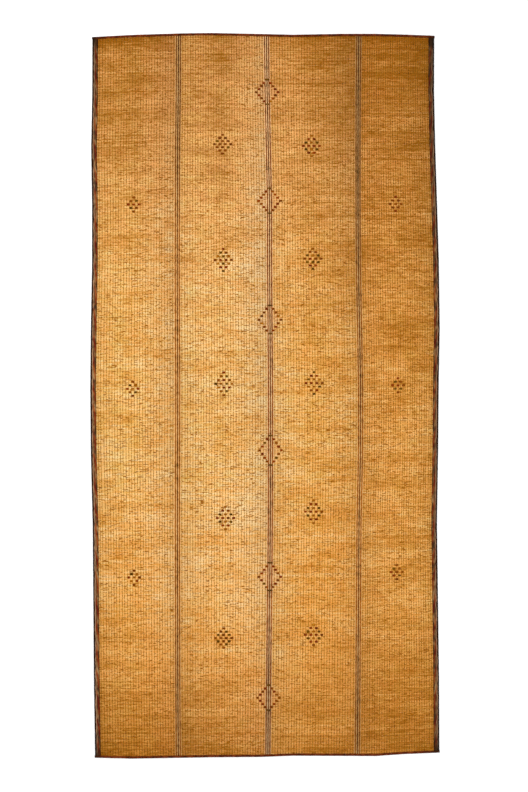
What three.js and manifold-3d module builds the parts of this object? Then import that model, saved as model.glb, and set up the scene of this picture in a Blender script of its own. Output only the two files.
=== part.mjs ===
// A woven floor mat of the Tuareg kind, lying flat. Four lengths of reed matting, bound with
// leather thongs, are joined edge to edge by three laced seams, and folded leather binds them all
// round. Millimetres. +X runs across the mat, +Y along it, +Z up. The origin is on the floor, under
// the middle of the mat's bounding box.
import * as THREE from "three";
import { mergeVertices } from "three/addons/utils/BufferGeometryUtils.js";
import Module from "manifold-3d";

const wasm = await Module();
wasm.setup();

// Driving dimensions
const HALF_LENGTH = 2104;
const MAT_TOP = 4.0;
const FIT_GAP = 0.3;

// Raised thongs that run along the matting, about one every 16 mm
const THONG = { halfWidth: 2, rise: 0.8 };

// What slips into folded leather at an edge is thinner than the mat
const TONGUE = { low: 1.3, high: MAT_TOP, step: 0.6 };

// Folded leather along the two long sides
const SIDE_BINDING = { reach: 32, leather: 1.0, web: 2.6, crown: 5.6, rim: 1.2 };

// Folded leather across the two ends, which passes the sides as small ears
const END_BINDING = { reach: 12, leather: 1.0, web: 2.6, crown: 5.3, rim: 1.2, ear: 2 };

// Two-strand lacing laid on each side binding: a swell for each strand that comes over
const LACING = { from: 14, to: 29, swellPitch: 35, sway: 1.4, neck: 0.9, crown: 1.8, shoulder: 3 };

// Seam bands, each with three laced thongs lying on it
const SEAM = { halfWidth: 18, thongPitch: 12, thongHalfWidth: 2.6, thongRise: 1.4 };

// Short leather bars laid across the centre seam, above and below each of its diamonds
const BAR = { width: 31, height: 8, thickness: 1.2, chamfer: 0.4 };
const BAR_PLACES = [1830, 1688, 1200, 1056, 521, 357, -234, -404, -971, -1131, -1680, -1825];

// Where the long edges and the seams cross the mat, from the foot to the head
const CROSSINGS = [
  { y: -2104, left: -985, seamLeft: -502, seamCentre: 16, seamRight: 535, right: 1011 },
  { y: -1651, left: -992, seamLeft: -506, seamCentre: 21, seamRight: 539, right: 1009 },
  { y: -752, left: -999, seamLeft: -508, seamCentre: 31, seamRight: 545, right: 997 },
  { y: -317, left: -1010, seamLeft: -507, seamCentre: 32, seamRight: 554, right: 1004 },
  { y: 60, left: -1013, seamLeft: -506, seamCentre: 32, seamRight: 554, right: 1007 },
  { y: 390, left: -1010, seamLeft: -508, seamCentre: 29, seamRight: 548, right: 1013 },
  { y: 773, left: -1003, seamLeft: -509, seamCentre: 26, seamRight: 541, right: 1008 },
  { y: 1133, left: -1003, seamLeft: -508, seamCentre: 26, seamRight: 539, right: 997 },
  { y: 1452, left: -1008, seamLeft: -507, seamCentre: 19, seamRight: 539, right: 987 },
  { y: 1771, left: -1002, seamLeft: -503, seamCentre: 12, seamRight: 540, right: 980 },
  { y: 2104, left: -1001, seamLeft: -502, seamCentre: 8, seamRight: 544, right: 981 },
];

// How far the two ends reach, from the left side to the right
const ENDS = [
  { x: -1013, head: 2080, foot: -2098 },
  { x: -769, head: 2093, foot: -2104 },
  { x: -478, head: 2102, foot: -2099 },
  { x: -305, head: 2104, foot: -2096 },
  { x: -15, head: 2098, foot: -2094 },
  { x: 160, head: 2094, foot: -2087 },
  { x: 450, head: 2099, foot: -2088 },
  { x: 640, head: 2099, foot: -2089 },
  { x: 798, head: 2095, foot: -2078 },
  { x: 1013, head: 2087, foot: -2069 },
];

// The four lengths of matting, each between two lines of the crossings table
const PANELS = [
  { name: "reed_panel_left_outer", from: "left", to: "seamLeft", thongs: 28, colour: 0xc9924e },
  { name: "reed_panel_left_inner", from: "seamLeft", to: "seamCentre", thongs: 32, colour: 0xdaa45c },
  { name: "reed_panel_right_inner", from: "seamCentre", to: "seamRight", thongs: 31, colour: 0xd7a05a },
  { name: "reed_panel_right_outer", from: "seamRight", to: "right", thongs: 29, colour: 0xbb8545 },
];

// The three seams, with the colours of their thongs from left to right
const SEAMS = [
  { side: "left", line: "seamLeft", thongs: [0x6b3a22, 0x40281a, 0x6b3a22] },
  { side: "centre", line: "seamCentre", thongs: [0x7a3a20, 0x38341a, 0x7a3a20] },
  { side: "right", line: "seamRight", thongs: [0x5f3520, 0x40281a, 0x5f3520] },
];

const reedMatting = (colour) =>
  new THREE.MeshStandardMaterial({ color: colour, roughness: 0.7, metalness: 0 });
const leather = (colour) =>
  new THREE.MeshStandardMaterial({ color: colour, roughness: 0.55, metalness: 0 });

const BAND_COLOUR = 0x9a7350;
const BINDING_COLOUR = 0x4a2f24;
const LACING_COLOUR = 0x7c3a1f;
const BAR_COLOUR = 0x5a3a1c;

// Reads a column of a table between its rows, by the value of the table's first column
function linesThrough(table) {
  const [key, ...columns] = Object.keys(table[0]);
  const places = table.map((row) => row[key]);
  const values = table.flatMap((row) => columns.map((column) => row[column]));
  const lines = new THREE.LinearInterpolant(places, values, columns.length);
  return (column, place) => lines.evaluate(place)[columns.indexOf(column)];
}

const crossing = linesThrough(CROSSINGS);
const endAt = linesThrough(ENDS);

// Where the line of the two ends turns, so that what meets it there turns with it
const stationsBetween = (from, to) => ENDS.map((row) => row.x).filter((x) => x > from && x < to);

// Moves a straight row of the mat to its real place, so that rows near an end follow its edge
function rowPlace(x, y) {
  const share = (y + HALF_LENGTH) / (2 * HALF_LENGTH);
  const headShift = endAt("head", x) - HALF_LENGTH;
  const footShift = endAt("foot", x) + HALF_LENGTH;
  return y + share * headShift + (1 - share) * footShift;
}

// Closes a loop that runs over a flat strip and back under it, by rungs between the two runs
function closeFlat(loop) {
  const faces = [];
  let over = 0;
  let under = loop.length - 1;
  while (under - over > 1) {
    const overIsNext = loop[over + 1][0] < loop[under - 1][0];
    faces.push([over, overIsNext ? over + 1 : under - 1, under]);
    if (overIsNext) over += 1;
    else under -= 1;
  }
  return faces;
}

// Closes a loop of any other shape, by the clockwise triangles of its flattened outline
const closeBy = (flatten) => (loop) => {
  const outline = loop.map(flatten);
  return THREE.ShapeUtils.triangulateShape(outline, []).map(([a, b, c]) => {
    const first = outline[b].clone().sub(outline[a]);
    const second = outline[c].clone().sub(outline[a]);
    return first.cross(second) < 0 ? [a, b, c] : [a, c, b];
  });
};
const closeAlong = closeBy(([x, , z]) => new THREE.Vector2(x, z));
const closeAcross = closeBy(([, y, z]) => new THREE.Vector2(-y, z));

// A closed geometry through loops of points, each loop clockwise as seen from the one before it
function loft(loops, close) {
  const count = loops[0].length;
  const faces = [];
  for (let row = 0; row + 1 < loops.length; row++) {
    for (let i = 0; i < count; i++) {
      const a = row * count + i;
      const b = row * count + ((i + 1) % count);
      faces.push(a, b, b + count, a, b + count, a + count);
    }
  }
  const last = (loops.length - 1) * count;
  for (const [a, b, c] of close(loops[0])) faces.push(a, c, b);
  for (const [a, b, c] of close(loops.at(-1))) faces.push(last + a, last + b, last + c);

  const geometry = new THREE.BufferGeometry();
  geometry.setAttribute("position", new THREE.Float32BufferAttribute(loops.flat(2), 3));
  geometry.setIndex(faces);
  return geometry;
}

// Rows of the strips that run the length of the mat. Their ends are thinned under the end bindings.
const openEnd = HALF_LENGTH - END_BINDING.reach;
const tuckedEnd = HALF_LENGTH - END_BINDING.web - FIT_GAP;
const innerRows = CROSSINGS.slice(1, -1).map((row) => row.y);

function tuckedStrip(section) {
  const rows = [
    { y: -tuckedEnd, tucked: true },
    { y: -openEnd, tucked: true },
    { y: -openEnd + TONGUE.step, tucked: false },
    ...innerRows.map((y) => ({ y, tucked: false })),
    { y: openEnd - TONGUE.step, tucked: false },
    { y: openEnd, tucked: true },
    { y: tuckedEnd, tucked: true },
  ];
  const loops = rows.map(({ y, tucked }) =>
    section(y).map(([x, z]) => [
      x,
      rowPlace(x, y),
      tucked ? THREE.MathUtils.clamp(z, TONGUE.low, TONGUE.high) : z,
    ]),
  );
  return loft(loops, closeFlat);
}

// The ribbed section of one length of matting. An edge under a side binding is a thin tongue.
function panelSection(panel, y) {
  const seamEdge = SEAM.halfWidth + FIT_GAP;
  const boundEdge = SIDE_BINDING.web + FIT_GAP;
  const boundLeft = panel.from === "left";
  const boundRight = panel.to === "right";
  const from = crossing(panel.from, y) + (boundLeft ? boundEdge : seamEdge);
  const to = crossing(panel.to, y) - (boundRight ? boundEdge : seamEdge);
  const fieldFrom = from + (boundLeft ? SIDE_BINDING.reach : 0);
  const fieldTo = to - (boundRight ? SIDE_BINDING.reach : 0);
  const pitch = (fieldTo - fieldFrom) / panel.thongs;

  const top = [[from, MAT_TOP]];
  for (let i = 0; i < panel.thongs; i++) {
    const x = fieldFrom + (i + 0.5) * pitch;
    top.push([x - THONG.halfWidth, MAT_TOP]);
    top.push([x, MAT_TOP + THONG.rise]);
    top.push([x + THONG.halfWidth, MAT_TOP]);
  }
  top.push([to, MAT_TOP]);

  const turns = stationsBetween(fieldFrom, fieldTo).map((x) => [x, 0]);
  const under = [];
  if (boundLeft) under.push([from, TONGUE.low], [fieldFrom - TONGUE.step, TONGUE.low]);
  under.push([fieldFrom, 0], ...turns, [fieldTo, 0]);
  if (boundRight) under.push([fieldTo + TONGUE.step, TONGUE.low], [to, TONGUE.low]);
  return [...top, ...under.reverse()];
}

function bandSection(line, y) {
  const centre = crossing(line, y);
  const { halfWidth } = SEAM;
  const outline = [[-halfWidth, MAT_TOP], [halfWidth, MAT_TOP], [halfWidth, 0], [-halfWidth, 0]];
  return outline.map(([offset, z]) => [centre + offset, z]);
}

// Rows of the strips that stop short of the end bindings
const shortEnd = openEnd - TONGUE.step - FIT_GAP;
const shortRows = [-shortEnd, ...innerRows, shortEnd];

// A strip laid along one line of the mat: a section for each row, given by offsets from the line
function laidStrip(line, rows, section) {
  const loops = rows.map((y, i) =>
    section(i).map(([offset, z]) => {
      const x = crossing(line, y) + offset;
      return [x, rowPlace(x, y), z];
    }),
  );
  return loft(loops, closeAlong);
}

function seamThong(line, place) {
  const floor = MAT_TOP + FIT_GAP;
  const { thongHalfWidth, thongRise, thongPitch } = SEAM;
  const middle = place * thongPitch;
  const section = [
    [middle - thongHalfWidth, floor],
    [middle - thongHalfWidth / 2, floor + thongRise],
    [middle + thongHalfWidth / 2, floor + thongRise],
    [middle + thongHalfWidth, floor],
  ];
  return laidStrip(line, shortRows, () => section);
}

// On the right side of the mat, offsets from the edge run the other way
const mirrored = (section) => section.map(([offset, z]) => [-offset, z]).reverse();

function sideBinding(side) {
  const { reach, leather: skin, web, crown, rim } = SIDE_BINDING;
  const roof = TONGUE.high + FIT_GAP;
  const section = [
    [rim, 0],
    [0, rim],
    [0, crown - rim],
    [rim, crown],
    [reach - rim, crown],
    [reach, crown - rim / 2],
    [reach, roof],
    [web, roof],
    [web, skin],
    [reach, skin],
    [reach, 0],
  ];
  return laidStrip(side, shortRows, () => (side === "left" ? section : mirrored(section)));
}

// The lacing swells and sways at every strand, and necks down between them
function bindingLacing(side) {
  const floor = SIDE_BINDING.crown + FIT_GAP;
  const { from, to, swellPitch, sway, neck, crown, shoulder } = LACING;
  const steps = Math.floor((2 * shortEnd) / swellPitch);
  const rows = Array.from({ length: steps + 1 }, (_, i) => -shortEnd + (i * 2 * shortEnd) / steps);
  const section = (i) => {
    const shift = i % 2 === 0 ? sway : -sway;
    const lift = i % 2 === 0 ? crown : neck;
    return [
      [from + shift, floor],
      [from + shift + shoulder, floor + lift],
      [to + shift - shoulder, floor + lift],
      [to + shift, floor],
    ];
  };
  return laidStrip(side, rows, (i) => (side === "left" ? section(i) : mirrored(section(i))));
}

// Turns a closed geometry into a manifold solid, and back
function solidOf(geometry) {
  const merged = mergeVertices(geometry);
  return new wasm.Manifold(
    new wasm.Mesh({
      numProp: 3,
      vertProperties: merged.attributes.position.array,
      triVerts: new Uint32Array(merged.index.array),
    }),
  );
}

function geometryOf(solid) {
  const mesh = solid.getMesh();
  const geometry = new THREE.BufferGeometry();
  geometry.setAttribute("position", new THREE.BufferAttribute(mesh.vertProperties, 3));
  geometry.setIndex(new THREE.BufferAttribute(mesh.triVerts, 1));
  return geometry;
}

// A section swept across one end, by offsets inwards from it. outward is 1 at the head, -1 at the foot.
function acrossEnd(section, end, outward, from, to) {
  const outline = outward === 1 ? section : [...section].reverse();
  const loops = [from, ...stationsBetween(from, to), to].map((x) =>
    outline.map(([offset, z]) => [x, endAt(end, x) - outward * offset, z]),
  );
  return loft(loops, closeAcross);
}

function endBinding(end, outward) {
  const { reach, crown, rim, leather: skin, web, ear } = END_BINDING;
  const left = crossing("left", outward * HALF_LENGTH);
  const right = crossing("right", outward * HALF_LENGTH);
  const inner = reach - FIT_GAP;
  const roof = TONGUE.high + FIT_GAP;
  const bar = [
    [rim, 0],
    [0, rim],
    [0, crown - rim],
    [rim, crown],
    [inner - rim, crown],
    [inner, crown - rim / 2],
    [inner, 0],
  ];
  const pastBar = reach + 1;
  const slot = [[web, skin], [web, roof], [pastBar, roof], [pastBar, skin]];
  const whole = solidOf(acrossEnd(bar, end, outward, left - ear, right + ear));
  const room = solidOf(acrossEnd(slot, end, outward, left + SIDE_BINDING.web, right - SIDE_BINDING.web));
  return geometryOf(whole.subtract(room));
}

// A low bar with chamfered top edges, lying across the seam's thongs
function seamBar() {
  const { width, height, thickness, chamfer } = BAR;
  const shape = new THREE.Shape([
    new THREE.Vector2(-width / 2, 0),
    new THREE.Vector2(width / 2, 0),
    new THREE.Vector2(width / 2, thickness - chamfer),
    new THREE.Vector2(width / 2 - chamfer, thickness),
    new THREE.Vector2(-width / 2 + chamfer, thickness),
    new THREE.Vector2(-width / 2, thickness - chamfer),
  ]);
  const geometry = new THREE.ExtrudeGeometry(shape, { depth: height, bevelEnabled: false });
  return geometry.translate(0, 0, -height / 2).rotateX(Math.PI / 2);
}

const mat = new THREE.Group();

function addPiece(name, geometry, material) {
  const piece = new THREE.Mesh(geometry, material);
  piece.name = name;
  mat.add(piece);
  return piece;
}

for (const panel of PANELS) {
  addPiece(panel.name, tuckedStrip((y) => panelSection(panel, y)), reedMatting(panel.colour));
}

for (const { side, line, thongs } of SEAMS) {
  addPiece(`seam_band_${side}`, tuckedStrip((y) => bandSection(line, y)), leather(BAND_COLOUR));
  thongs.forEach((colour, i) => {
    addPiece(`seam_thong_${side}_${i + 1}`, seamThong(line, i - 1), leather(colour));
  });
}

for (const side of ["left", "right"]) {
  addPiece(`side_binding_${side}`, sideBinding(side), leather(BINDING_COLOUR));
  addPiece(`binding_lacing_${side}`, bindingLacing(side), leather(LACING_COLOUR));
}
addPiece("end_binding_head", endBinding("head", 1), leather(BINDING_COLOUR));
addPiece("end_binding_foot", endBinding("foot", -1), leather(BINDING_COLOUR));

const barFloor = MAT_TOP + FIT_GAP + SEAM.thongRise + FIT_GAP;
BAR_PLACES.forEach((y, i) => {
  const bar = addPiece(`seam_bar_${String(i + 1).padStart(2, "0")}`, seamBar(), leather(BAR_COLOUR));
  const x = crossing("seamCentre", y);
  bar.position.set(x, rowPlace(x, y), barFloor);
});

export default mat;
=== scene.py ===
import math
import bpy
import numpy as np
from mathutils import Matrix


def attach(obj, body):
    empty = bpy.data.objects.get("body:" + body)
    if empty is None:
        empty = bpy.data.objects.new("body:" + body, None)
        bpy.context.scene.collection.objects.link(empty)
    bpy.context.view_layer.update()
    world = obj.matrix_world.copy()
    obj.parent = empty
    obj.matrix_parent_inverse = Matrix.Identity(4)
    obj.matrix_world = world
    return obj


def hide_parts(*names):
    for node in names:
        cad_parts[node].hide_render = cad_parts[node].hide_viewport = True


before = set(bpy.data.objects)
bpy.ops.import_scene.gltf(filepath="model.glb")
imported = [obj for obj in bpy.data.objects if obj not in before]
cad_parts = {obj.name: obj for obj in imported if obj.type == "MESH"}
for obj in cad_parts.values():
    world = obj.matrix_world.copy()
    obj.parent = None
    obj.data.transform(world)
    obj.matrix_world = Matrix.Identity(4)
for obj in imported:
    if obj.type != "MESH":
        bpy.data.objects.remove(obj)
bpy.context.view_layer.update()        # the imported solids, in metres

chance = np.random.default_rng(41)
tiny = 1e-6              # lengths below this count as none
hexagonHeight = 0.866    # across the flats, where it is 1 across the corners

# where the long edges and the seams run, from the foot to the head
matLines = {
    "y":          [-2.104, -1.651, -0.752, -0.317, 0.060, 0.390, 0.773, 1.133, 1.452, 1.771, 2.104],
    "left":       [-0.985, -0.992, -0.999, -1.010, -1.013, -1.010, -1.003, -1.003, -1.008, -1.002, -1.001],
    "seamLeft":   [-0.502, -0.506, -0.508, -0.507, -0.506, -0.508, -0.509, -0.508, -0.507, -0.503, -0.502],
    "seamCentre": [0.016, 0.021, 0.031, 0.032, 0.032, 0.029, 0.026, 0.026, 0.019, 0.012, 0.008],
    "seamRight":  [0.535, 0.539, 0.545, 0.554, 0.554, 0.548, 0.541, 0.539, 0.539, 0.540, 0.544],
    "right":      [1.011, 1.009, 0.997, 1.004, 1.007, 1.013, 1.008, 0.997, 0.987, 0.980, 0.981],
}

# how far the head and the foot reach, from the left side to the right
matEnds = {
    "x":    [-1.013, -0.769, -0.478, -0.305, -0.015, 0.160, 0.450, 0.640, 0.798, 1.013],
    "head": [2.080, 2.093, 2.102, 2.104, 2.098, 2.094, 2.099, 2.099, 2.095, 2.087],
    "foot": [-2.098, -2.104, -2.099, -2.096, -2.094, -2.087, -2.088, -2.089, -2.078, -2.069],
}
halfLength = 2.104
seamHalfWidth = 0.018
underBinding = 0.005     # how far in from the mat's edge the reeds and thongs end, inside the fold
wovenLength = 2 * (halfLength - underBinding)


def lineX(line, y):
    return np.interp(y, matLines["y"], matLines[line])


def rowY(x, y):          # a straight row's real place, so that rows near an end follow it
    share = (y + halfLength) / (2 * halfLength)
    headShift = np.interp(x, matEnds["x"], matEnds["head"]) - halfLength
    footShift = np.interp(x, matEnds["x"], matEnds["foot"]) + halfLength
    return y + share * headShift + (1 - share) * footShift


# reading and writing a piece's points, and naming it
def pointsOf(piece):
    spots = np.empty(len(piece.data.vertices) * 3)
    piece.data.vertices.foreach_get("co", spots)
    return spots.reshape(-1, 3)


def putPoints(piece, spots):
    piece.data.vertices.foreach_set("co", spots.ravel())
    piece.data.update()


def storeTone(piece, name, values):
    tone = piece.data.attributes.new(name, "FLOAT", "POINT")
    tone.data.foreach_set("value", np.asarray(values, dtype=np.float32))


def named(name):
    piece = bpy.context.object
    piece.name = name
    piece.data.name = name
    return piece


def selectOnly(piece):
    bpy.ops.object.select_all(action="DESELECT")
    piece.select_set(True)
    bpy.context.view_layer.objects.active = piece


def applyPlace():
    bpy.ops.object.transform_apply(location=True, rotation=True, scale=True)


def selectEdges(piece, wanted):    # in edit mode afterwards, with the wanted edges selected
    bpy.ops.object.mode_set(mode="EDIT")
    bpy.ops.mesh.select_mode(type="EDGE")
    bpy.ops.mesh.select_all(action="DESELECT")
    bpy.ops.object.mode_set(mode="OBJECT")
    spots = [v.co for v in piece.data.vertices]
    for edge in piece.data.edges:
        edge.select = wanted(spots[edge.vertices[0]], spots[edge.vertices[1]])
    bpy.ops.object.mode_set(mode="EDIT")


def runsAlong(a, b):     # whether an edge runs along Y
    return abs(a.y - b.y) > tiny and abs(a.x - b.x) < tiny and abs(a.z - b.z) < tiny


def cutLengthwise(piece, cuts):    # cuts every edge along Y once for each number, and counts its parts
    for cut in cuts:
        selectEdges(piece, runsAlong)
        bpy.ops.mesh.subdivide(number_cuts=cut)
        bpy.ops.object.mode_set(mode="OBJECT")
    return math.prod(cut + 1 for cut in cuts)


def faceOutwards(piece):
    selectOnly(piece)
    bpy.ops.object.mode_set(mode="EDIT")
    bpy.ops.mesh.select_all(action="SELECT")
    bpy.ops.mesh.normals_make_consistent(inside=False)
    bpy.ops.object.mode_set(mode="OBJECT")


def repeat(piece, count, step):    # as many in a row, and each point's number in that row
    each = len(piece.data.vertices)
    rows = piece.modifiers.new("rows", "ARRAY")
    rows.count = count
    rows.use_relative_offset = False
    rows.use_constant_offset = True
    rows.constant_offset_displace = step
    selectOnly(piece)
    bpy.ops.object.modifier_apply(modifier=rows.name)
    return np.arange(each * count) // each


def finishPiece(piece, materials, nodes=()):
    selectOnly(piece)
    bpy.ops.object.shade_smooth()
    for each in materials:
        piece.data.materials.append(each)
    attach(piece, "root")
    if nodes:
        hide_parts(*nodes)


mapWork = {
    "topShare": 0.8,         # the share of the map that the top has
    "besideGap": 0.05,       # round each strip, as a share of it
    "endGap": 0.01,
    "underFrom": -0.2,       # a face that looks down more than this belongs to the underside
}


def foldMap(piece, strips):
    # one long piece laid flat for its paint: cut into strips side by side, its underside beside its top
    data = piece.data
    spots = pointsOf(piece)
    corners = np.empty(len(data.loops), dtype=np.int64)
    data.loops.foreach_get("vertex_index", corners)
    sides = np.empty(len(data.polygons), dtype=np.int64)
    data.polygons.foreach_get("loop_total", sides)
    middles = np.empty(len(data.polygons) * 3)
    data.polygons.foreach_get("center", middles)
    facing = np.empty(len(data.polygons) * 3)
    data.polygons.foreach_get("normal", facing)
    middleY = np.repeat(middles.reshape(-1, 3)[:, 1], sides)
    under = np.repeat(facing.reshape(-1, 3)[:, 2] < mapWork["underFrom"], sides)
    x, y = spots[corners, 0], spots[corners, 1]
    low, high = spots.min(axis=0), spots.max(axis=0)
    stripLength = (high[1] - low[1]) / strips
    strip = np.clip((middleY - low[1]) // stripLength, 0, strips - 1)
    across = (x - low[0]) / (high[0] - low[0])
    along = (y - low[1]) / stripLength - strip
    u = (strip + mapWork["besideGap"] + (1 - 2 * mapWork["besideGap"]) * across) / strips
    v = mapWork["endGap"] + (1 - 2 * mapWork["endGap"]) * along
    top = mapWork["topShare"]
    u = np.where(under, top + (1 - top) * u, top * u)
    layer = data.uv_layers.new(name="OFBake")
    layer.data.foreach_set("uv", np.stack([u, v], axis=1).astype(np.float32).ravel())


# the middles of the dyed diamonds, and their rows of dashes from the head down
diamonds = [
    {"x": -0.2465, "y": 1.4589, "row": 0.0180, "rows": "B/BB/GBB/BBBB/BBG/BB/B"},
    {"x": 0.2685, "y": 1.4488, "row": 0.0197, "rows": "O/RR/GOG/RRRR/GOG/RR/O"},
    {"x": -0.2422, "y": 0.7876, "row": 0.0212, "rows": "R/GB/OGO/BRRB/OGO/RR/G"},
    {"x": 0.2784, "y": 0.7948, "row": 0.0194, "rows": "O/BB/GOG/BRBB/GGG/RR/G"},
    {"x": -0.2392, "y": 0.0698, "row": 0.0218, "rows": "R/OG/BRB/GOGO/ORR/OG/B"},
    {"x": 0.2844, "y": 0.0742, "row": 0.0209, "rows": "G/RR/GOO/RRRB/OOG/BR/G"},
    {"x": -0.2293, "y": -0.7088, "row": 0.0215, "rows": "O/RB/GOG/RRBR/GOG/RR/O"},
    {"x": 0.2815, "y": -0.6722, "row": 0.0218, "rows": "O/RR/GOG/RRRB/GOG/RR/O"},
    {"x": -0.2393, "y": -1.4048, "row": 0.0186, "rows": "B/BG/GBG/BBBB/GBG/BG/B"},
    {"x": 0.2815, "y": -1.3860, "row": 0.0197, "rows": "O/RR/GOG/RRRB/GOG/RR/O"},
    {"x": -0.7609, "y": 1.1095, "row": 0.0203, "rows": "B/BG/RRR/GB/B"},
    {"x": -0.7673, "y": 0.0408, "row": 0.0203, "rows": "B/GO/ROR/OG/B"},
    {"x": -0.7590, "y": -1.0539, "row": 0.0203, "rows": "B/GO/ROB/OR/B"},
    {"x": 0.7575, "y": 1.1124, "row": 0.0203, "rows": "R/BB/BBB/BB/R"},
    {"x": 0.7714, "y": 0.0612, "row": 0.0203, "rows": "R/GB/RRB/GG/B"},
    {"x": 0.7639, "y": -1.0220, "row": 0.0203, "rows": "B/GO/RBB/RG/B"},
]

# the open diamonds on the centre seam: left-hand and right-hand dashes from the head down
openDiamonds = [
    {"y": 1.7603, "row": 0.01775, "left": "RBRBRBR", "right": "RBRRBRO"},
    {"y": 1.1304, "row": 0.0180, "left": "RBRRBRB", "right": "BRRBRRB"},
    {"y": 0.4414, "row": 0.0209, "left": "RBBBOBB", "right": "BBOBBRR"},
    {"y": -0.3161, "row": 0.0215, "left": "RGRBRRB", "right": "RBRRBGR"},
    {"y": -1.0492, "row": 0.0200, "left": "BRRBRGB", "right": "RRBRBRB"},
    {"y": -1.7510, "row": 0.0180, "left": "RBRBRRB", "right": "BRBOBRB"},
]
openDiamondSteps = [0.0191, 0.0325, 0.0464, 0.0626, 0.0464, 0.0325, 0.0191]
dashStep = 0.0158        # from one dash's middle to the next free place beside it


def dashPlaces():
    places = []
    for diamond in diamonds:
        rows = diamond["rows"].split("/")
        for row, rowDyes in enumerate(rows):
            for i, dye in enumerate(rowDyes):
                x = diamond["x"] + (2 * i - len(rowDyes) + 1) * dashStep
                y = diamond["y"] + ((len(rows) - 1) / 2 - row) * diamond["row"]
                places.append((x, y, dye))
    for diamond in openDiamonds:
        for row, step in enumerate(openDiamondSteps):
            y = diamond["y"] + ((len(openDiamondSteps) - 1) / 2 - row) * diamond["row"]
            middle = float(lineX("seamCentre", y))
            places.append((middle - step, y, diamond["left"][row]))
            places.append((middle + step, y, diamond["right"][row]))
    return places


dashes = dashPlaces()
stainMiddles = [(float(lineX("seamCentre", diamond["y"])), diamond["y"]) for diamond in openDiamonds]


# materials: each one's colours are what a user would change
def startMaterial(name, roughness, specular, tint=(1.0, 0.62, 0.30, 1)):
    material = bpy.data.materials.new(name)
    material.use_nodes = True
    nodes, links = material.node_tree.nodes, material.node_tree.links
    shader = nodes["Principled BSDF"]
    shader.inputs["Roughness"].default_value = roughness
    shader.inputs["Specular IOR Level"].default_value = specular
    shader.inputs["Specular Tint"].default_value = tint
    return material, nodes, links, shader


def fromHex(colour):
    parts = [int(colour[i:i + 2], 16) / 255 for i in (0, 2, 4)]
    return [c / 12.92 if c < 0.04045 else ((c + 0.055) / 1.055) ** 2.4 for c in parts] + [1]


def feed(links, value, socket):    # sets a number on the socket, or links another node's output to it
    if isinstance(value, (int, float)):
        socket.default_value = value
    else:
        links.new(value, socket)


def attributeNode(nodes, name):
    attribute = nodes.new("ShaderNodeAttribute")
    attribute.attribute_name = name
    return attribute.outputs["Fac"]


def noiseNode(nodes, links, place, stretch, detail, roughness):
    fit = nodes.new("ShaderNodeMapping")
    fit.inputs["Scale"].default_value = stretch
    noise = nodes.new("ShaderNodeTexNoise")
    noise.inputs["Scale"].default_value = 1.0
    noise.inputs["Detail"].default_value = detail
    noise.inputs["Roughness"].default_value = roughness
    links.new(place.outputs["Object"], fit.inputs["Vector"])
    links.new(fit.outputs["Vector"], noise.inputs["Vector"])
    return noise.outputs["Fac"]


def reedNoise(nodes, links, place, number, stretch, detail):     # one value round a reed's girth
    along, across = stretch
    split = nodes.new("ShaderNodeSeparateXYZ")
    join = nodes.new("ShaderNodeCombineXYZ")
    noise = nodes.new("ShaderNodeTexNoise")
    noise.inputs["Scale"].default_value = 1.0
    noise.inputs["Detail"].default_value = detail
    noise.inputs["Roughness"].default_value = 0.6
    links.new(place.outputs["Object"], split.inputs["Vector"])
    links.new(mathNode(nodes, links, "MULTIPLY", split.outputs["X"], along), join.inputs["X"])
    links.new(mathNode(nodes, links, "MULTIPLY", number, across), join.inputs["Y"])
    links.new(join.outputs["Vector"], noise.inputs["Vector"])
    return noise.outputs["Fac"]


def rangeNode(nodes, links, value, low, high, toLow, toHigh):
    fit = nodes.new("ShaderNodeMapRange")
    for name, number in (("From Min", low), ("From Max", high), ("To Min", toLow), ("To Max", toHigh)):
        fit.inputs[name].default_value = number
    links.new(value, fit.inputs["Value"])
    return fit.outputs["Result"]


def mathNode(nodes, links, operation, first, second):
    node = nodes.new("ShaderNodeMath")
    node.operation = operation
    feed(links, first, node.inputs[0])
    feed(links, second, node.inputs[1])
    return node.outputs["Value"]


def rampNode(nodes, links, value, stops):
    ramp = nodes.new("ShaderNodeValToRGB")
    colours = ramp.color_ramp.elements
    while len(colours) < len(stops):
        colours.new(0.5)
    for element, (place, colour) in zip(colours, stops):
        element.position = place
        element.color = fromHex(colour)
    links.new(value, ramp.inputs["Fac"])
    return ramp.outputs["Color"]


def mixNode(nodes, links, share, first, second, blend="MIX"):
    mix = nodes.new("ShaderNodeMix")
    mix.data_type = "RGBA"
    mix.blend_type = blend
    feed(links, share, mix.inputs["Factor"])
    links.new(first, mix.inputs["A"])
    if isinstance(second, str):
        mix.inputs["B"].default_value = fromHex(second)
    else:
        links.new(second, mix.inputs["B"])
    return mix.outputs["Result"]


bumpDepth = 0.0004


def bumpNode(nodes, links, shader, height, strength):
    bump = nodes.new("ShaderNodeBump")
    bump.inputs["Strength"].default_value = strength
    bump.inputs["Distance"].default_value = bumpDepth
    links.new(height, bump.inputs["Height"])
    links.new(bump.outputs["Normal"], shader.inputs["Normal"])


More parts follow.
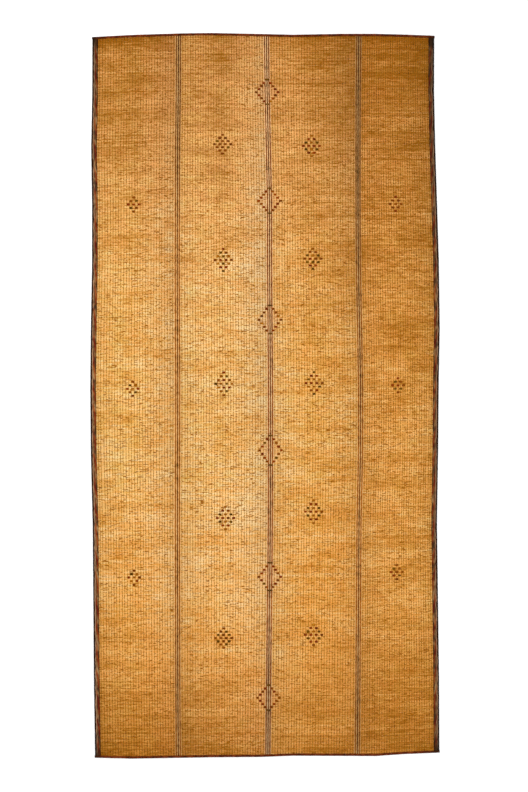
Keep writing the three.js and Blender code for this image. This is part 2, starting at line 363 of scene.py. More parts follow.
reedFinish = {
    "stops": [(0.0, "9c5c12"), (0.25, "cb852e"), (0.5, "eaa956"), (0.75, "f5c580"), (1.0, "f9daaa")],
    "tints": [(0.25, "fff6e4"), (0.5, "fefff4"), (0.75, "f7ffe8")],      # rosier and greener patches
    # dark flecks along single reeds: partly darker reed, partly painted shade of the gaps between reeds
    "gapShadeFleck": "9e5a00",
    "gapShadeFleckShare": 0.95,
    "gapShadeFleckFrom": [0.57, 0.65],       # the noise where a fleck of painted shade begins and where it is whole
    "blush": "f2ac84",               # where red dye has run into the reeds
    "blushShare": 0.22,
    "blushReach": [0.03, 0.085],     # from an open diamond's middle
    "pale": "283d44",                # a pale cast added as painted sheen, strongest at the head
    "paintedSheenGain": 1.5,                   # how strongly, for a light reed
    "cloudy": 0.18,                  # how far clouds, streaks and grain change the tone
    "streaky": 0.28,
    "grainy": 0.08,
    "roughness": [0.62, 0.40],       # of a dark and of a light streak
    "specular": 0.12,
    "bump": 0.35,
    "clouds": (3.0, 9.0, 1.0),       # how fine each noise is along X, Y and Z
    "grain": (60.0, 2200.0, 900.0),
    "hues": (10.0, 14.0, 1.0),
    "streaks": (17.0, 0.38),         # how fine along a reed, and from reed to reed
    "gapShadeFlecks": (34.0, 1.7),
}


def nearestStain(nodes, links, place):      # how far a point is from the nearest open diamond's middle
    nearest = 1.0
    for x, y in stainMiddles:
        away = nodes.new("ShaderNodeVectorMath")
        away.operation = "DISTANCE"
        away.inputs[1].default_value = (x, y, 0)
        links.new(place.outputs["Object"], away.inputs[0])
        nearest = mathNode(nodes, links, "MINIMUM", away.outputs["Value"], nearest)
    return nearest


def makeReedMaterial():
    look = reedFinish
    material, nodes, links, shader = startMaterial("goldenReed", look["roughness"][0], look["specular"])
    place = nodes.new("ShaderNodeTexCoord")
    number = attributeNode(nodes, "reedNumber")
    clouds = noiseNode(nodes, links, place, look["clouds"], 4.0, 0.6)
    streaks = reedNoise(nodes, links, place, number, look["streaks"], 2.5)
    grain = noiseNode(nodes, links, place, look["grain"], 2.0, 0.6)
    gapShadeFlecks = reedNoise(nodes, links, place, number, look["gapShadeFlecks"], 1.0)

    # the tone: the panel's own, with clouds, streaks and grain
    cloudy = rangeNode(nodes, links, clouds, 0.3, 0.7, -look["cloudy"], look["cloudy"])
    streaky = rangeNode(nodes, links, streaks, 0.25, 0.75, -look["streaky"], look["streaky"])
    grainy = rangeNode(nodes, links, grain, 0.2, 0.8, -look["grainy"], look["grainy"])
    varied = mathNode(nodes, links, "ADD", cloudy, streaky)
    varied = mathNode(nodes, links, "MULTIPLY", varied, attributeNode(nodes, "unevenness"))
    tone = mathNode(nodes, links, "ADD", attributeNode(nodes, "reedToneWithShade"), varied)
    tone = mathNode(nodes, links, "ADD", tone, grainy)
    colour = rampNode(nodes, links, tone, look["stops"])

    # the hue, the painted sheen, the dark flecks (partly painted shade of the gaps between reeds) and the
    # stains
    hues = noiseNode(nodes, links, place, look["hues"], 3.0, 0.6)
    hues = mathNode(nodes, links, "SUBTRACT", hues, attributeNode(nodes, "rosiness"))
    tint = rampNode(nodes, links, hues, look["tints"])
    colour = mixNode(nodes, links, 1.0, colour, tint, "MULTIPLY")
    sheenShare = rangeNode(nodes, links, tone, 0.05, 0.6, 0.0, look["paintedSheenGain"])     # a dark reed gets less painted sheen
    sheenShare = mathNode(nodes, links, "MULTIPLY", attributeNode(nodes, "paintedSheen"), sheenShare)
    colour = mixNode(nodes, links, sheenShare, colour, look["pale"], "ADD")
    # dark flecks: partly painted shade of the gaps between reeds
    gapShadeFleckShare = rangeNode(nodes, links, gapShadeFlecks, *look["gapShadeFleckFrom"], 0.0, look["gapShadeFleckShare"])
    colour = mixNode(nodes, links, gapShadeFleckShare, colour, look["gapShadeFleck"])
    stain = nearestStain(nodes, links, place)
    blushShare = rangeNode(nodes, links, stain, *look["blushReach"], look["blushShare"], 0.0)
    colour = mixNode(nodes, links, blushShare, colour, look["blush"])

    links.new(colour, shader.inputs["Base Color"])
    links.new(rangeNode(nodes, links, streaks, 0.2, 0.8, *look["roughness"]), shader.inputs["Roughness"])
    bumpNode(nodes, links, shader, grain, look["bump"])
    return material


leatherFinish = {
    "brownThong": {"dark": "784a06", "main": "a06c08", "pale": "c08c24", "roughness": 0.6},
    "redThong":   {"dark": "502200", "main": "8c4200", "pale": "a8641a", "roughness": 0.58},
    "greenThong": {"dark": "341800", "main": "6e3400", "pale": "8e5408", "roughness": 0.58},
    "sideThong":  {"dark": "5c2c02", "main": "924c00", "pale": "b46c16", "roughness": 0.58},
    "bandWrap":   {"dark": "cc984c", "main": "fac47a", "pale": "fed89a", "roughness": 0.65},
    "paleWrap":   {"dark": "cc9e68", "main": "ffce92", "pale": "ffe2b2", "roughness": 0.65},
    "maroonHide": {"dark": "260a02", "main": "541c06", "pale": "7c3814", "roughness": 0.5},
    "redStrand":  {"dark": "5a1006", "main": "782e0e", "pale": "8e4c20", "roughness": 0.5, "patchy": 0.7},
    "tanStrand":  {"dark": "402c1c", "main": "6a4626", "pale": "9a744c", "roughness": 0.52, "patchy": 0.5},
    "redDye":     {"dark": "4a1400", "main": "742600", "pale": "944202", "roughness": 0.6},
    "greenDye":   {"dark": "2c1c00", "main": "583600", "pale": "785006", "roughness": 0.6},
    "ochreDye":   {"dark": "6a3400", "main": "8e4e02", "pale": "b07018", "roughness": 0.6},
    "brownDye":   {"dark": "421c00", "main": "703200", "pale": "924e06", "roughness": 0.6},
}
leatherGrain = {
    "paintedShade": "1c0e08",       # the colour of the painted shade, darkest at the mat's corners
    "specular": 0.12,
    "patchy": 0.12,          # how patchy a leather is that doesn't say
    "grainy": 0.12,
    "bump": 0.4,
    "wear": (38.0, 38.0, 38.0),
    "fine": (900.0, 900.0, 900.0),
    "patches": (7.0, 11.0, 5.0),
}


def makeLeather(name):
    look = leatherFinish[name]
    patchy = look.get("patchy", leatherGrain["patchy"])
    material, nodes, links, shader = startMaterial(name, look["roughness"], leatherGrain["specular"])
    place = nodes.new("ShaderNodeTexCoord")
    wear = noiseNode(nodes, links, place, leatherGrain["wear"], 5.0, 0.65)
    fine = noiseNode(nodes, links, place, leatherGrain["fine"], 3.0, 0.6)
    patches = noiseNode(nodes, links, place, leatherGrain["patches"], 2.0, 0.5)
    worn = rangeNode(nodes, links, wear, 0.3, 0.7, 0.1, 0.9)
    tone = mathNode(nodes, links, "ADD", worn, rangeNode(nodes, links, patches, 0.3, 0.7, -patchy, patchy))
    grainy = rangeNode(nodes, links, fine, 0.2, 0.8, -leatherGrain["grainy"], leatherGrain["grainy"])
    tone = mathNode(nodes, links, "ADD", tone, grainy)
    colour = rampNode(nodes, links, tone, [(0.1, look["dark"]), (0.5, look["main"]), (0.95, look["pale"])])
    # painted shade, as much as the piece's shade attribute gives
    colour = mixNode(nodes, links, attributeNode(nodes, "paintedShade"), colour, leatherGrain["paintedShade"])
    roughness = rangeNode(nodes, links, wear, 0.3, 0.7, look["roughness"] - 0.1, look["roughness"] + 0.12)
    links.new(colour, shader.inputs["Base Color"])
    links.new(roughness, shader.inputs["Roughness"])
    bumpNode(nodes, links, shader, fine, leatherGrain["bump"])
    return material


hideFinish = {
    "stops": [(0.0, "1c0c06"), (0.29, "2a140a"), (0.36, "a27e5e"),
              (0.43, "b08664"), (0.48, "5e3820"), (1.0, "482814")],      # from the mat's edge inwards
    # the colour of the painted shade
    "paintedShade": "160d08",
    "roughness": 0.5,
    "specular": 0.06,
    "wear": (40.0, 22.0, 40.0),
}


def makeBindingHide():     # dark at the mat's edge, with a pale worn strip beside the lacing
    look = hideFinish
    material, nodes, links, shader = startMaterial("bindingHide", look["roughness"], look["specular"])
    place = nodes.new("ShaderNodeTexCoord")
    wear = noiseNode(nodes, links, place, look["wear"], 4.0, 0.6)
    fine = noiseNode(nodes, links, place, leatherGrain["fine"], 3.0, 0.6)
    strayed = rangeNode(nodes, links, wear, 0.3, 0.7, -0.08, 0.10)
    inwards = mathNode(nodes, links, "ADD", attributeNode(nodes, "across"), strayed)
    colour = rampNode(nodes, links, inwards, look["stops"])
    # painted shade, darker at the mat's head, foot, right side and corners
    colour = mixNode(nodes, links, attributeNode(nodes, "paintedShade"), colour, look["paintedShade"])
    links.new(colour, shader.inputs["Base Color"])
    bumpNode(nodes, links, shader, fine, leatherGrain["bump"])
    return material


goldenReed = makeReedMaterial()
bindingHide = makeBindingHide()
leather = {name: makeLeather(name) for name in leatherFinish}
print("materials made")


# the reeds: one reed modelled, then repeated along the mat
reedWork = {
    "pitch": 0.0035,
    "height": 0.0027,
    "lift": 0.0009,            # the reeds' underside above the floor
    "looseness": 0.0002,       # how far a reed strays from its row
    "unevenHeight": 0.00018,
    "girth": [0.94, 1.04],
    "toneSpread": 0.06,
}
# the panels' tones are partly the reeds' own colour and partly painted shade: darker towards the head, the
# foot and the right-hand panels
panelWork = {
    "left_outer":  {"from": "left", "to": "seamLeft", "thongs": 28,
                    "head": 0.21, "middle": 0.68, "foot": 0.20,      # tones from 0, dark, to 1, light: the reeds' own tone with painted shade, darker at the head and foot
                    "above": 0.0, "below": 0.01,                     # added either side of the middle
                    "across": [-0.02, -0.04, 0.13],                  # added at the left, middle and right
                    "acrossHead": 1.2,                               # how much stronger that is at the head
                    "rosyAcross": [-0.05, -0.10, 0.26],              # redder at the left, middle and right
                    "rosy": 0.2,                                     # redder between the middle and foot
                    "paintedSheenHead": 1.05, "pale": 0.0,                   # how much painted sheen at the head and elsewhere
                    "uneven": 1.0},                                  # how strong the streaks and clouds are
    "left_inner":  {"from": "seamLeft", "to": "seamCentre", "thongs": 32,
                    "head": 0.36, "middle": 0.75, "foot": 0.29, "above": 0.0, "below": 0.04,
                    "across": [-0.03, -0.05, 0.11], "acrossHead": 2.8,
                    "rosyAcross": [-0.02, -0.03, 0.13], "rosy": 0.2,
                    "paintedSheenHead": 1.6, "pale": 0.0, "uneven": 1.05},
    "right_inner": {"from": "seamCentre", "to": "seamRight", "thongs": 31,
                    "head": 0.24, "middle": 0.62, "foot": 0.32, "above": -0.05, "below": 0.0,
                    "across": [0.13, -0.06, -0.02], "acrossHead": 0.7,
                    "rosyAcross": [0.05, -0.04, 0.12], "rosy": 0.15,
                    "paintedSheenHead": 1.05, "pale": 0.0, "uneven": 0.95},
    "right_outer": {"from": "seamRight", "to": "right", "thongs": 29,
                    "head": 0.10, "middle": 0.44, "foot": 0.22, "above": -0.06, "below": 0.04,
                    "across": [0.05, -0.02, 0.01], "acrossHead": 1.0,
                    "rosyAcross": [0.16, 0.04, 0.05], "rosy": 0.0,
                    "paintedSheenHead": 0.85, "pale": 0.2, "uneven": 0.9},
}

# how each change comes and goes along the mat: places from the foot to the head, and its share there
alongMat = {
    "head":       [[0.0, 0.6, 1.2, 1.7, 2.0, 2.1], [0, 0.12, 0.50, 0.88, 1.0, 1.35]],
    "foot":       [[-2.1, -2.0, -1.9, -1.5, -1.1], [1.3, 1.0, 0.9, 0.35, 0]],
    "above":      [[0.1, 0.4, 0.9, 1.3], [0, 1, 1, 0]],
    "below":      [[-1.6, -1.3, -0.5, -0.2], [0, 1, 1, 0]],
    "acrossHead": [[0.3, 1.3], [0, 1]],
    "rosy":       [[-1.9, -1.4, -0.9, -0.4], [0.3, 1, 1, 0]],
    # where the painted sheen lies along the mat
    "sheenShare":      [[-2.0, -1.2, 0.2, 0.9, 1.4], [0.45, 0, 0.15, 0.5, 1]],
    "uneven":     [[-1.7, -0.9, 0.9, 1.7], [0.65, 1, 1, 0.65]],
}


def shareAt(change, y):
    return np.interp(y, *alongMat[change])


def panelToneWithShade(work, y):     # how light the matting is along a panel, with painted shade towards the head and the foot
    tone = work["middle"] + (work["head"] - work["middle"]) * shareAt("head", y)
    tone += (work["foot"] - work["middle"]) * shareAt("foot", y)
    return tone + work["above"] * shareAt("above", y) + work["below"] * shareAt("below", y)


def acrossPanel(work, change, share, y):
    more = 1 + (work["acrossHead"] - 1) * shareAt("acrossHead", y)
    return more * np.interp(share, [0, 0.5, 1], work[change])


def panelX(work, y, share, atEdge):     # share is 0 at a panel's left and 1 at its right
    start = lineX(work["from"], y) + (atEdge if work["from"] == "left" else seamHalfWidth)
    end = lineX(work["to"], y) - (atEdge if work["to"] == "right" else seamHalfWidth)
    return start + share * (end - start)


def rowsOfReeds(name, pitch):     # one reed repeated along the mat, and each point's row
    bpy.ops.object.select_all(action="DESELECT")
    bpy.ops.mesh.primitive_cylinder_add(vertices=6, radius=0.5, depth=1, rotation=(0, math.pi / 2, 0))
    reeds = named(name)
    applyPlace()
    selectEdges(reeds, lambda a, b: abs(a.x - b.x) > 0.5)
    bpy.ops.mesh.subdivide(number_cuts=1)
    bpy.ops.object.mode_set(mode="OBJECT")
    count = round(wovenLength / pitch)
    number = repeat(reeds, count, (0, 1, 0))
    return reeds, count, number


def makeReeds(panel):
    work = panelWork[panel]
    reeds, count, number = rowsOfReeds("reeds_" + panel, reedWork["pitch"])
    pitch = wovenLength / count
    spots = pointsOf(reeds)
    share = spots[:, 0] + 0.5
    sideways = spots[:, 1] - number
    girth = chance.uniform(*reedWork["girth"], count)[number]
    strays = chance.uniform(-reedWork["looseness"], reedWork["looseness"], (3, count))[:, number]
    strayed = np.choose(np.round(share * 2).astype(int), strays)      # at a reed's left, middle and right
    y = (number + 0.5) * pitch - wovenLength / 2 + strayed + sideways * pitch * girth
    x = panelX(work, y, share, underBinding)
    z = reedWork["lift"] + reedWork["height"] * (0.5 + girth * spots[:, 2] / hexagonHeight)
    z += chance.uniform(-reedWork["unevenHeight"], reedWork["unevenHeight"], count)[number]
    putPoints(reeds, np.stack([x, rowY(x, y), z], axis=1))
    # the reeds' tone carries painted shade along and across the panel, with a random tone for each reed
    tone = panelToneWithShade(work, y) + acrossPanel(work, "across", share, y)
    storeTone(reeds, "reedToneWithShade", tone + chance.normal(0, reedWork["toneSpread"], count)[number])
    storeTone(reeds, "reedNumber", number)
    storeTone(reeds, "unevenness", work["uneven"] * shareAt("uneven", y))
    # how much painted sheen each reed gets, strongest at the head
    sheenShare = shareAt("sheenShare", y)
    storeTone(reeds, "paintedSheen", work["pale"] * (1 - sheenShare) + work["paintedSheenHead"] * sheenShare)
    rosy = work["rosy"] * shareAt("rosy", y)
    storeTone(reeds, "rosiness", rosy + acrossPanel(work, "rosyAcross", share, y))
    foldMap(reeds, strips=4)
    finishPiece(reeds, [goldenReed], ["reed_panel_" + panel])
    return reeds


# the thongs: one thong modelled as a long strip, then repeated across the panel and woven
thongWork = {
    "width": 0.0044,
    "height": 0.0011,
    "over": 0.0043,                      # its height on top of the reeds
    "under": 0.0029,
    "runs": [0.25, 0.45, 0.30],          # how often a thong stays on top for one, two or three rows
    "runsDrawn": 420,                    # enough for a thong's whole length
    "cuts": [99, 7],                     # they make its 800 stitches
    "slide": 0.4,                        # how far its stitches are moved along, in stitches
    "drift": 0.00006,                    # how far it wanders sideways from stitch to stitch
    "mostDrift": 0.0012,
    "tightness": [-0.00025, 0.0002],     # a stitch's own height
    "besideBinding": 0.035,              # from the mat's edge to where a panel's thongs begin
    "paintedShadeBelow": 0.62,                  # the panel's tone under which the thongs get painted shade
    "paintedShadeGain": 0.9,
    "mostPaintedShade": 0.5,
}


def longStrip(name, sides, length):     # one thong or strand along Y
    bpy.ops.object.select_all(action="DESELECT")
    bpy.ops.mesh.primitive_cylinder_add(vertices=sides, radius=0.5, depth=length,
                                        rotation=(math.pi / 2, 0, 0))
    strip = named(name)
    applyPlace()
    return strip


def weaveRows(count, places):     # for every thong, at which of its places it lies on top of the reeds
    rows = np.ones((count, places), dtype=bool)
    for thong in rows:
        runs = chance.choice([1, 2, 3], size=thongWork["runsDrawn"], p=thongWork["runs"])
        dips = np.cumsum(runs + 1) - chance.integers(0, 4)      # begins anywhere in its first run
        thong[dips[(dips >= 0) & (dips < places)]] = False
    return rows


def makeThongs(panel):
    work = panelWork[panel]
    count = work["thongs"]
    thongs = longStrip("thongs_" + panel, 3, wovenLength)
    stitches = cutLengthwise(thongs, thongWork["cuts"])
    number = repeat(thongs, count, (1, 0, 0))
    spots = pointsOf(thongs)
    sideways = spots[:, 0] - number
    step = wovenLength / stitches
    places = stitches + 1
    stitch = np.round((spots[:, 1] + wovenLength / 2) / step).astype(int)
    slide = chance.uniform(-thongWork["slide"], thongWork["slide"], count) * step
    y = np.clip(spots[:, 1] + slide[number], -wovenLength / 2, wovenLength / 2)
    drift = np.cumsum(chance.normal(0, 1, (count, places)), axis=1)
    drift = drift - np.linspace(0, 1, places) * drift[:, -1:]
    drift = np.clip(drift * thongWork["drift"], -thongWork["mostDrift"], thongWork["mostDrift"])
    x = panelX(work, y, (number + 0.5) / count, thongWork["besideBinding"])
    x += drift[number, stitch] + sideways * thongWork["width"]
    goesOver = weaveRows(count, places)[number, stitch]
    tightness = chance.uniform(*thongWork["tightness"], (count, places))[number, stitch]
    middle = np.where(goesOver, thongWork["over"], thongWork["under"]) + tightness
    z = middle + spots[:, 2] * thongWork["height"]
    putPoints(thongs, np.stack([x, rowY(x, y), z], axis=1))
    # painted shade on the thongs, darker where the panel's tone is darker
    paintedShade = (thongWork["paintedShadeBelow"] - panelToneWithShade(work, y)) * thongWork["paintedShadeGain"]
    storeTone(thongs, "paintedShade", np.clip(paintedShade, 0, thongWork["mostPaintedShade"]))
    foldMap(thongs, strips=4)
    finishPiece(thongs, [leather["brownThong"]])
    return thongs


panelPieces = {}
for panel in panelWork:
    reeds = makeReeds(panel)
    thongs = makeThongs(panel)
    panelPieces[panel] = (reeds, thongs)
    print("panel", panel, len(reeds.data.polygons), len(thongs.data.polygons))


# the seams: short leather wraps across, with three laced thongs on them
# each seam's worn table is painted shade along it, for its thongs and its wraps, darker towards the ends
seamWork = {
    "left":   {"line": "seamLeft", "wrap": "bandWrap", "width": 0.0083,
               "thongs": ["sideThong", "greenThong", "sideThong"],
               "worn": {"y": [-2.1, -1.7, -1.2, 0.9, 1.3, 2.1],
                        "thongs": [0.32, 0.24, 0.08, 0.05, 0.4, 0.6],
                        "wraps": [0.35, 0.28, 0.04, 0, 0.2, 0.3]}},
    "centre": {"line": "seamCentre", "wrap": "paleWrap", "width": 0.0080,
               "thongs": ["redThong", "greenThong", "redThong"],
               "worn": {"y": [-2.1, -1.7, -1.3, -0.8, -0.4, 0.3, 1.6, 2.1],
                        "thongs": [0.44, 0.38, 0.0, 0.0, 0.12, 0.22, 0.30, 0.46],
                        "wraps": [0.4, 0.32, 0.16, 0.16, 0.14, 0.06, 0.0, 0.1]}},
    "right":  {"line": "seamRight", "wrap": "bandWrap", "width": 0.0083,
               "thongs": ["sideThong", "greenThong", "sideThong"],
               "worn": {"y": [-2.1, -1.8, -1.2, -0.6, 0.3, 0.9, 1.6, 2.1],
                        "thongs": [0.36, 0.31, 0.04, 0.02, 0.20, 0.38, 0.5, 0.56],
                        "wraps": [0.42, 0.38, 0.15, 0.10, 0.18, 0.36, 0.42, 0.48]}},
}
wrapWork = {"pitch": 0.0052, "height": 0.0031, "lift": 0.0007, "unevenHeight": 0.0002}
laceWork = {
    "spacing": 0.0116,
    "height": 0.0014,
    "low": 0.0042,           # its middle's height where it dips between two wraps
    "high": 0.0047,
    "fromEnd": 0.012,        # where it ends, in from the mat's head and foot
    "cuts": [99, 3],
    "swell": [0.88, 1.08],
    "sway": 0.0005,          # how far it lies to one side and the other
    "swayTurn": 1.7,
}


def makeWraps(side):
    work = seamWork[side]
    wraps, count, number = rowsOfReeds("seam_wraps_" + side, wrapWork["pitch"])
    pitch = wovenLength / count
    spots = pointsOf(wraps)
    y = (spots[:, 1] + 0.5) * pitch - wovenLength / 2
    x = lineX(work["line"], y) + spots[:, 0] * 2 * seamHalfWidth
    z = wrapWork["lift"] + wrapWork["height"] * (0.5 + spots[:, 2] / hexagonHeight)
    z += chance.uniform(-wrapWork["unevenHeight"], wrapWork["unevenHeight"], count)[number]
    putPoints(wraps, np.stack([x, rowY(x, y), z], axis=1))
    # painted shade along the seam
    storeTone(wraps, "paintedShade", np.interp(y, work["worn"]["y"], work["worn"]["wraps"]))
    foldMap(wraps, strips=12)
    finishPiece(wraps, [leather[work["wrap"]]], ["seam_band_" + side])
    return wraps


def makeLace(side, place):     # place is -1, 0 or 1, from the seam's left to its right
    work = seamWork[side]
    name = f"{side}_{place + 2}"
    length = 2 * (halfLength - laceWork["fromEnd"])
    lace = longStrip("seam_lace_" + name, 6, length)
    parts = cutLengthwise(lace, laceWork["cuts"])
    spots = pointsOf(lace)
    y = spots[:, 1]
    row = np.round((y + length / 2) / (length / parts)).astype(int)
    swell = chance.uniform(*laceWork["swell"], parts + 1)[row]
    x = lineX(work["line"], y) + place * laceWork["spacing"] + spots[:, 0] * work["width"] * swell
    x += laceWork["sway"] * np.sin(row * laceWork["swayTurn"] + place)
    middle = np.where(row % 2 == 0, laceWork["high"], laceWork["low"])
    z = middle + spots[:, 2] / hexagonHeight * laceWork["height"]
    putPoints(lace, np.stack([x, rowY(x, y), z], axis=1))
    # painted shade along the seam
    storeTone(lace, "paintedShade", np.interp(y, work["worn"]["y"], work["worn"]["thongs"]))
    foldMap(lace, strips=12)
    finishPiece(lace, [leather[work["thongs"][place + 1]]], ["seam_thong_" + name])
    return lace


seamPieces = []
for side in seamWork:
    seamPieces.append(makeWraps(side))
    for place in (-1, 0, 1):
        seamPieces.append(makeLace(side, place))
print("seams", len(seamPieces))


# the dashes of the diamonds: one short dyed strip modelled, then laid at each place
dashWork = {"width": 0.0176, "length": 0.0142, "thickness": 0.0014, "top": 0.0050, "tilt": 0.05}
dyes = {"R": "redDye", "G": "greenDye", "O": "ochreDye", "B": "brownDye"}
shortStripWork = {
    "sideDip": 0.0007,       # the edges dip between the reeds
    "endDip": 0.0016,
    "taper": 0.10,
    "sizes": [0.9, 1.08],
}


def shortStrip(name, work):
    bpy.ops.object.select_all(action="DESELECT")
    bpy.ops.mesh.primitive_cube_add(size=1)
    strip = named(name)
    strip.scale = (work["width"], work["length"], work["thickness"])
    applyPlace()
    bpy.ops.object.mode_set(mode="EDIT")
    bpy.ops.mesh.select_all(action="SELECT")
    bpy.ops.mesh.subdivide(number_cuts=3)
    bpy.ops.object.mode_set(mode="OBJECT")
    spots = pointsOf(strip)
    toSide = np.abs(spots[:, 0]) / (work["width"] / 2)
    toEnd = np.abs(spots[:, 1]) / (work["length"] / 2)
    spots[:, 2] -= shortStripWork["sideDip"] * toSide ** 4 + shortStripWork["endDip"] * toEnd ** 3
    spots[:, 0] *= 1 - shortStripWork["taper"] * toEnd ** 2
    putPoints(strip, spots)
    return strip


def layCopies(piece, places, materialNumbers, tilt):
    # one modelled piece copied to each place, joined as one mesh
    faces = len(piece.data.polygons)
    number = repeat(piece, len(places), (1, 0, 0))
    spots = pointsOf(piece)
    spots[:, 0] -= number
    turn = chance.normal(0, tilt, len(places))[number]
    size = chance.uniform(*shortStripWork["sizes"], (len(places), 2))[number]
    x, y = spots[:, 0] * size[:, 0], spots[:, 1] * size[:, 1]
    at = np.array(places)[number]
    spots[:, 0] = at[:, 0] + x * np.cos(turn) - y * np.sin(turn)
    spots[:, 1] = at[:, 1] + x * np.sin(turn) + y * np.cos(turn)
    spots[:, 2] += at[:, 2]
    putPoints(piece, spots)
    perFace = np.repeat(np.array(materialNumbers, dtype=np.int32), faces)
    piece.data.polygons.foreach_set("material_index", perFace)


dashPiece = shortStrip("diamond_dashes", dashWork)
dashHeight = dashWork["top"] - dashWork["thickness"] / 2
dyeOrder = list(dyes)
layCopies(dashPiece, [(x, y, dashHeight) for x, y, dye in dashes],
          [dyeOrder.index(dye) for x, y, dye in dashes], dashWork["tilt"])
finishPiece(dashPiece, [leather[dyes[dye]] for dye in dyeOrder])
print("dashes", len(dashes))

# the bars over the centre seam, from the head down
barWork = {
    "width": 0.031, "length": 0.0085, "thickness": 0.0016, "height": 0.0066, "tilt": 0.03,
    "rows": [1.833, 1.691, 1.203, 1.059, 0.524, 0.360, -0.231, -0.401, -0.968, -1.128, -1.677, -1.822],
}
barPiece = shortStrip("seam_bars", barWork)
barPlaces = [(float(lineX("seamCentre", y)), y, barWork["height"]) for y in barWork["rows"]]
layCopies(barPiece, barPlaces, [0] * len(barPlaces), barWork["tilt"])
barNodes = [f"seam_bar_{i + 1:02d}" for i in range(len(barPlaces))]
finishPiece(barPiece, [leather["greenDye"]], barNodes)
print("bars", len(barPlaces))


# the bindings: a strip of leather folded round the edge
sideBindingWork = {
    "reach": 0.032,          # how far in the leather lies, above and below
    "crown": 0.0056,
    "leather": 0.0010,
    "pucker": 0.0004,
    "puckerPace": 1.4,
    "fromEnd": 0.0125,       # where it ends, in from the mat's head and foot
    "stray": 0.0012,         # how far its inner edge wavers
    "strayElsewhere": 0.25,  # the share of that over the rest of it
    "cuts": [99, 2],
}
endBindingWork = {
    "reach": 0.0140,
    "crown": 0.0055,
    "leather": 0.0010,
    "pucker": 0.0003,
    "puckerPace": 1.3,
    "pastSide": 0.002,       # how far it lies past the mat's long edges
    "stray": 0.0008,
    "strayElsewhere": 0.3,
    "cuts": [99, 1],
}
# painted shade on the bindings and their lacing: darker at the head, the foot, the right side and the corners
paintedShadeWork = {
    "head": [[0.6, 1.8, 2.02, 2.08], [0, 0.28, 0.42, 0.92]],        # places along the mat, and how dark
    "foot": [[-2.08, -2.02, -1.8], [0.75, 0.15, 0]],
    "ends": [[0.93, 0.99], [0, 0.85]],                              # places from the mat's middle line
    "right": 0.24,
    "most": 0.92,
}


def foldedStrip(name, work, length):
    # the fold's outside is at x = 0 and its two leaves reach towards +x
    reach, bend = work["reach"], work["crown"] / 2
    bpy.ops.object.select_all(action="DESELECT")
    bpy.ops.mesh.primitive_plane_add(size=1)
    strip = named(name)
    strip.scale = (reach - bend, length, 1)
    strip.location = (bend + (reach - bend) / 2, 0, work["crown"])
    applyPlace()
    selectEdges(strip, lambda a, b: a.x < bend + tiny and b.x < bend + tiny)
    bpy.ops.mesh.spin(steps=6, angle=math.pi, center=(bend, 0, bend), axis=(0, 1, 0))
    bpy.ops.mesh.extrude_edges_move(TRANSFORM_OT_translate={"value": (reach - bend, 0, 0)})
    bpy.ops.mesh.select_all(action="SELECT")
    bpy.ops.mesh.remove_doubles(threshold=tiny)
    bpy.ops.object.mode_set(mode="OBJECT")
    faceOutwards(strip)
    cutLengthwise(strip, work["cuts"])
    return strip


def thicken(strip, skin, mirrored):      # the leather's thickness goes inwards from its outer face
    selectOnly(strip)
    if mirrored:
        bpy.ops.object.mode_set(mode="EDIT")
        bpy.ops.mesh.select_all(action="SELECT")
        bpy.ops.mesh.flip_normals()
        bpy.ops.object.mode_set(mode="OBJECT")
    wall = strip.modifiers.new("leather", "SOLIDIFY")
    wall.thickness = skin
    wall.offset = -1
    wall.use_even_offset = True
    bpy.ops.object.modifier_apply(modifier=wall.name)
    faceOutwards(strip)


def ripple(y, seed):     # uneven handwork along an edge, between -1 and 1
    return 0.5 * np.sin(y * 61 + seed) + 0.3 * np.sin(y * 149 + 2 * seed) + 0.2 * np.sin(y * 283 + 3 * seed)


def paintedShadeAt(x, y):       # painted shade: darker along the top of the mat's sides and at its corners, more so on the right
    head = np.interp(y, *paintedShadeWork["head"])
    foot = np.interp(y, *paintedShadeWork["foot"])
    side = np.where(x > 0, paintedShadeWork["right"], 0.0)
    return np.clip(np.maximum(head, foot) + side, 0, paintedShadeWork["most"])


def handFolded(work, spots, along, straySeed, puckerSeed):     # how far in a strip's points lie, and how high
    inner = spots[:, 0] > 0.9 * work["reach"]       # the inner edge
    stray = work["stray"] * ripple(along, straySeed) * np.where(inner, 1, work["strayElsewhere"])
    pucker = work["pucker"] * (0.5 + 0.5 * ripple(along * work["puckerPace"], puckerSeed))
    top = spots[:, 2] > work["crown"] * 0.6         # the upper leaf
    return spots[:, 0] + stray, spots[:, 2] - np.where(top, pucker, 0)


def makeSideBinding(side, inward):
    work = sideBindingWork
    strip = foldedStrip("side_binding_cover_" + side, work, 2 * (halfLength - work["fromEnd"]))
    spots = pointsOf(strip)
    y = spots[:, 1]
    depth, z = handFolded(work, spots, y, 1 + inward, 5 + inward)
    x = lineX(side, y) + inward * depth
    putPoints(strip, np.stack([x, rowY(x, y), z], axis=1))
    storeTone(strip, "across", np.clip(spots[:, 0] / work["reach"], 0, 1))
    # painted shade
    storeTone(strip, "paintedShade", paintedShadeAt(x, y))
    thicken(strip, work["leather"], inward < 0)
    foldMap(strip, strips=12)
    finishPiece(strip, [bindingHide], ["side_binding_" + side])
    return strip


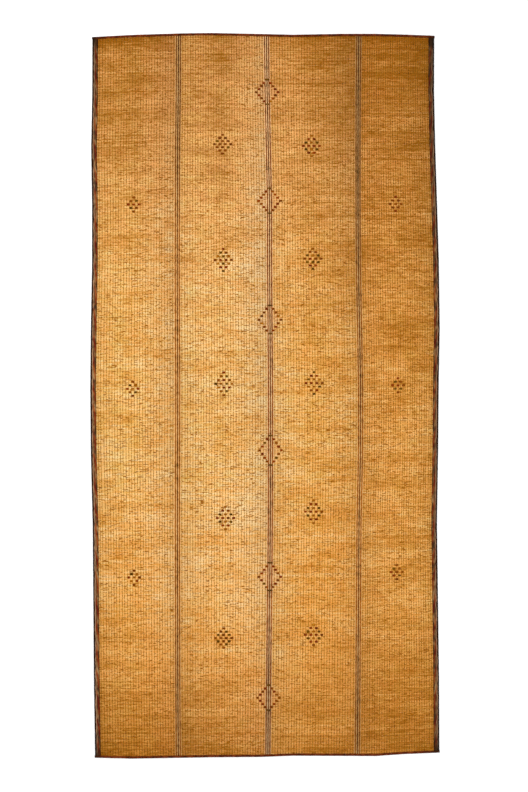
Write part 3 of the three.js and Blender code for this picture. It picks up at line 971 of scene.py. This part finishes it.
def makeEndBinding(end, outward):
    work = endBindingWork
    left = float(lineX("left", outward * halfLength)) - work["pastSide"]
    right = float(lineX("right", outward * halfLength)) + work["pastSide"]
    strip = foldedStrip("end_binding_cover_" + end, work, right - left)
    spots = pointsOf(strip)
    x = (left + right) / 2 + spots[:, 1]
    depth, z = handFolded(work, spots, x, 3 + outward, 7 + outward)
    y = np.interp(x, matEnds["x"], matEnds[end]) - outward * depth
    putPoints(strip, np.stack([x, y, z], axis=1))
    # painted shade, darker towards the corners
    storeTone(strip, "paintedShade", np.interp(np.abs(x), *paintedShadeWork["ends"]))
    thicken(strip, work["leather"], outward < 0)
    finishPiece(strip, [leather["maroonHide"]], ["end_binding_" + end])
    return strip


bindingPieces = [makeSideBinding("left", 1), makeSideBinding("right", -1),
                 makeEndBinding("head", 1), makeEndBinding("foot", -1)]
print("bindings", len(bindingPieces))

# the lacing on the side bindings: a red and a brown strand, twisted flat
twistWork = {
    "middle": 0.0225,        # in from the mat's edge
    "swing": 0.0044,
    "turn": 0.140,           # the length of a whole twist
    "width": 0.0100,
    "height": 0.0019,
    "rise": 0.0062,
    "crossing": 0.0008,      # how far a strand rises over the other and dips under it
    "uneven": 1.6,
    "unevenPace": 0.13,
    "fromEnd": 0.014,        # where it ends, in from the mat's head and foot
    "cuts": [99, 4],
}


def makeStrand(side, inward, colour, phase):
    work = twistWork
    length = 2 * (halfLength - work["fromEnd"])
    strand = longStrip(f"{colour}_strand_{side}", 8, length)
    cutLengthwise(strand, work["cuts"])
    spots = pointsOf(strand)
    y = spots[:, 1]
    turn = 2 * math.pi * y / work["turn"] + phase + work["uneven"] * ripple(y * work["unevenPace"], phase)
    depth = work["middle"] + work["swing"] * np.cos(turn) + spots[:, 0] * work["width"]
    z = work["rise"] + work["crossing"] * np.sin(turn) + spots[:, 2] * work["height"]
    x = lineX(side, y) + inward * depth
    putPoints(strand, np.stack([x, rowY(x, y), z], axis=1))
    # painted shade
    storeTone(strand, "paintedShade", paintedShadeAt(x, y))
    faceOutwards(strand)
    foldMap(strand, strips=12)
    finishPiece(strand, [leather[colour + "Strand"]], ["binding_lacing_" + side])
    return strand


strands = []
for side, inward in (("left", 1), ("right", -1)):
    strands.append(makeStrand(side, inward, "red", 0))
    strands.append(makeStrand(side, inward, "tan", math.pi))
print("strands", len(strands))

# each panel's reeds: their lowest and highest points
for panel, (reeds, thongs) in panelPieces.items():
    low, high = pointsOf(reeds).min(axis=0), pointsOf(reeds).max(axis=0)
print("sheets", len(panelPieces))

# the floor, the light and the camera
floorWork = {"colour": "ffffff", "size": 60, "roughness": 0.9, "specular": 0.1}
lightWork = {
    "key_light":  {"place": (-4.5, 3.5, 5.5), "size": 5, "power": 330},
    "fill_light": {"place": (4.8, -3.0, 6.0), "size": 6, "power": 240},
}
skyStrength = 0.75


def makeFloor():
    bpy.ops.object.select_all(action="DESELECT")
    bpy.ops.mesh.primitive_plane_add(size=floorWork["size"])
    floor = named("studio_floor")
    material, nodes, links, shader = startMaterial("paleFloor", floorWork["roughness"],
                                                   floorWork["specular"], (1, 1, 1, 1))
    shader.inputs["Base Color"].default_value = fromHex(floorWork["colour"])
    floor.data.materials.append(material)


def makeLight(name):     # a square lamp turned towards the mat's middle
    x, y, z = lightWork[name]["place"]
    bpy.ops.object.light_add(type="AREA", location=(x, y, z))
    lamp = bpy.context.object
    lamp.name = name
    lamp.data.shape = "SQUARE"
    lamp.data.size = lightWork[name]["size"]
    lamp.data.energy = lightWork[name]["power"]
    lamp.rotation_euler = (math.atan2(math.hypot(x, y), z), 0, math.atan2(-y, -x) - math.pi / 2)


makeFloor()
for name in lightWork:
    makeLight(name)

world = bpy.data.worlds.new("studio_sky")
bpy.context.scene.world = world
world.use_nodes = True
world.node_tree.nodes["Background"].inputs["Color"].default_value = (1, 1, 1, 1)
world.node_tree.nodes["Background"].inputs["Strength"].default_value = skyStrength

cameraWork = {
    "lens": 85,
    "sensor": 36,
    "frameWidth": 528,               # in pixels
    "frameHeight": 792,
    "perPixel": 0.0058,              # metres
    "matMiddle": (265.0, 395.8),     # the mat's middle in the frame, in pixels
}
bpy.ops.object.camera_add()
camera = bpy.context.object
camera.name = "view_from_above"
camera.data.lens = cameraWork["lens"]
camera.data.sensor_width = cameraWork["sensor"]
frameLong = cameraWork["frameHeight"] * cameraWork["perPixel"]
camera.location = (
    (cameraWork["frameWidth"] / 2 - cameraWork["matMiddle"][0]) * cameraWork["perPixel"],
    (cameraWork["matMiddle"][1] - cameraWork["frameHeight"] / 2) * cameraWork["perPixel"],
    frameLong * cameraWork["lens"] / cameraWork["sensor"],
)
camera.data.clip_end = 200
bpy.context.scene.camera = camera
bpy.context.scene.view_settings.view_transform = "Standard"
print("stage set")
